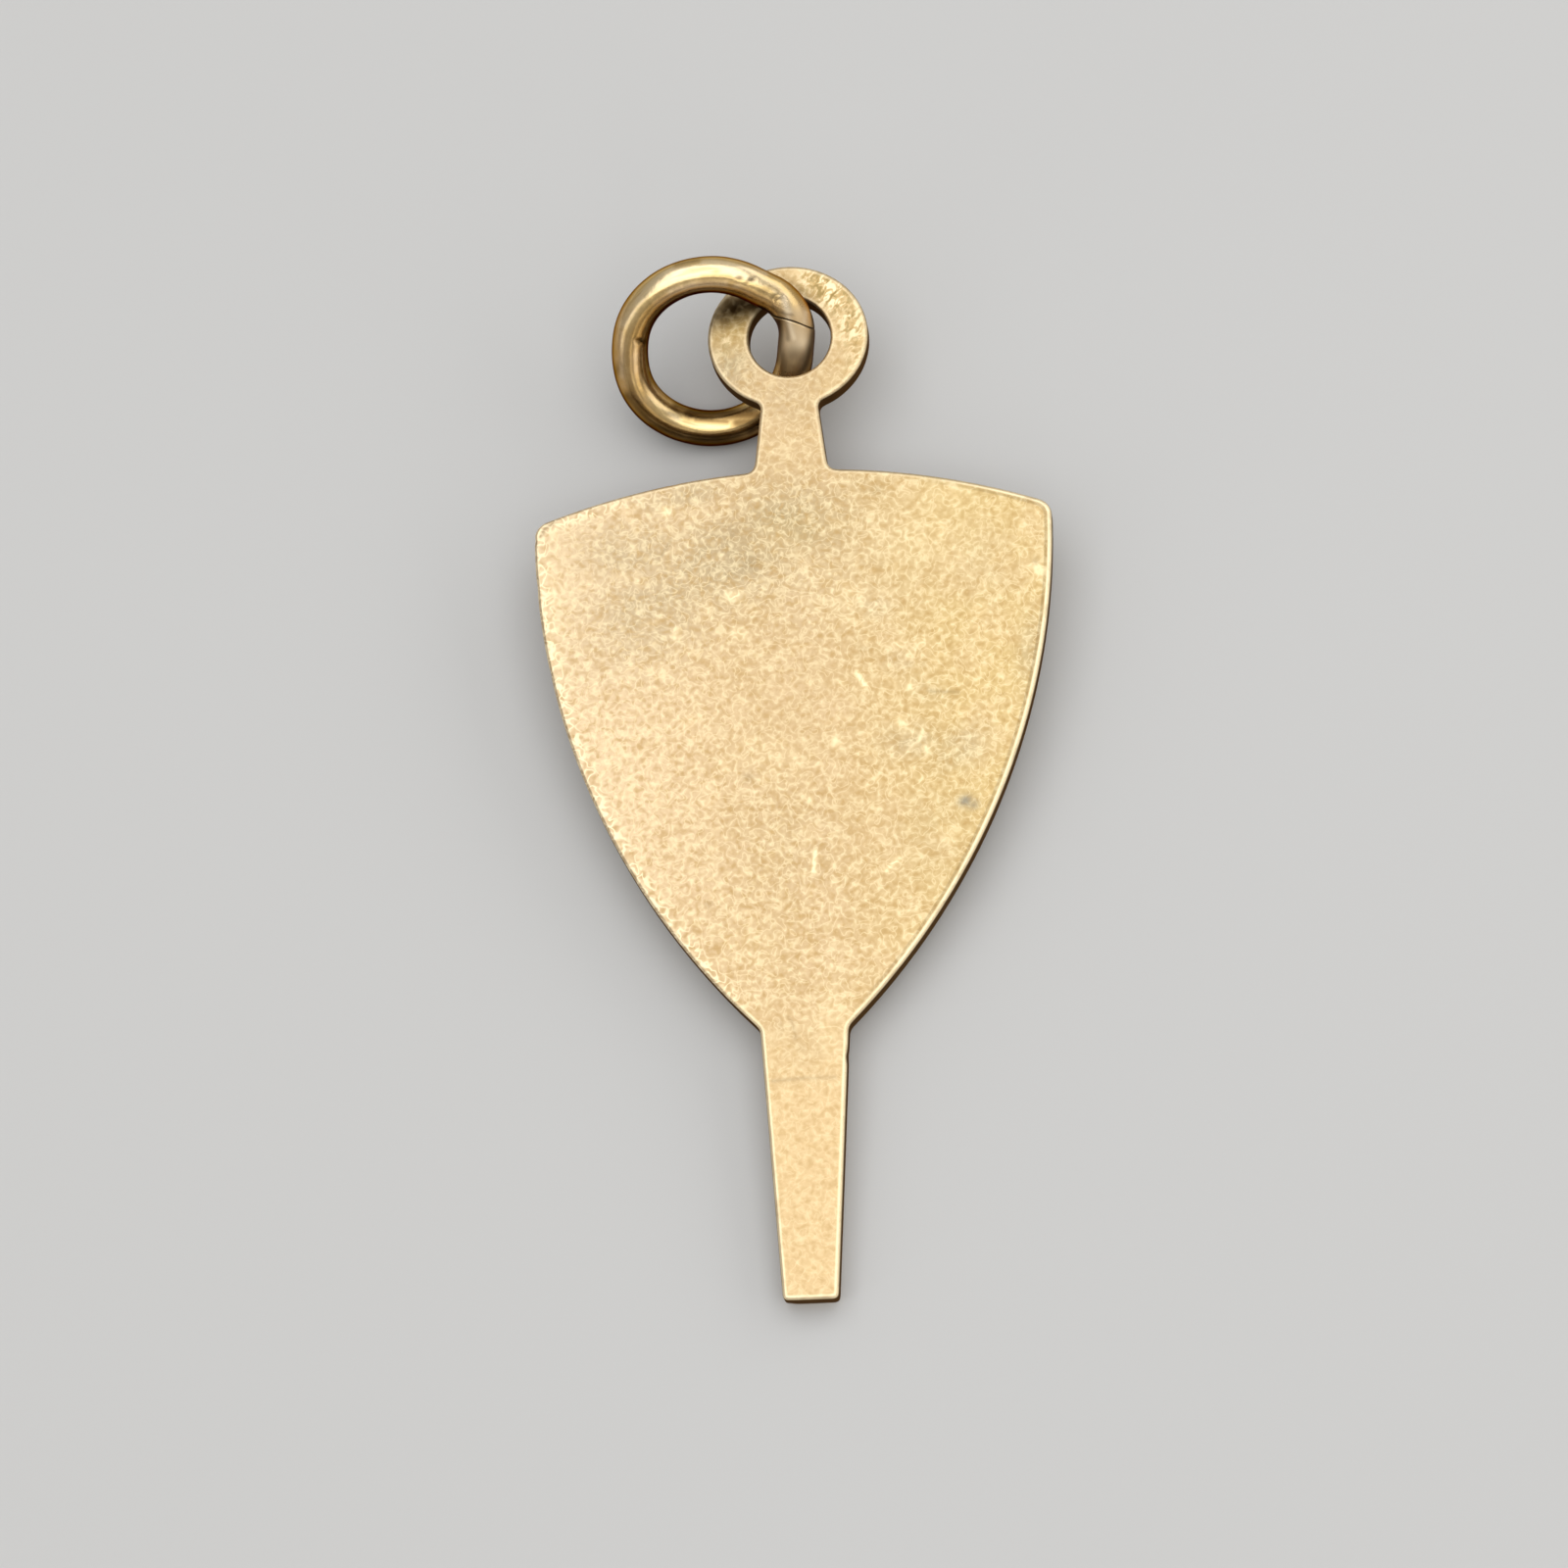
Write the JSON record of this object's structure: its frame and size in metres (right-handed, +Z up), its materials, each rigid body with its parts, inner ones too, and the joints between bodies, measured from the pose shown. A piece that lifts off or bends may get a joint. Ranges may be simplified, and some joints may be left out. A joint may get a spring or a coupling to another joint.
{
  "type": "shield charm",
  "caption": "Flat brass key-shaped charm with a shield body, a bow at the top and a tapering square-ended stem, hung from a wire jump ring that turns in the bow's hole.",
  "frame": {"origin": "on the surface that the charm lies on, under the middle of its bounding box", "axes": "+Y from the stem's end to the bow, +Z up, out of the plain back, and +X to the side that the ring doesn't lie on; the plate leans by 3.7 degrees on its folded ring"},
  "size_m": [0.016, 0.0326, 0.005],
  "materials": {
    "satin_brass": "worn satin",
    "aged_brass": "tarnished, worn bright where it rubs"
  },
  "bodies": {
    "charm": {"shield_plate": "satin_brass"},
    "ring": {"jump_ring": "aged_brass"}
  },
  "joints": [
    {"name": "ring_flip", "type": "hinge", "parent": "charm", "child": "ring", "pos_m": [0, 0.01399, 0.00253], "axis": [0.9949, 0.1009, 0.0065], "range_deg": [0, 94]}
  ]
}
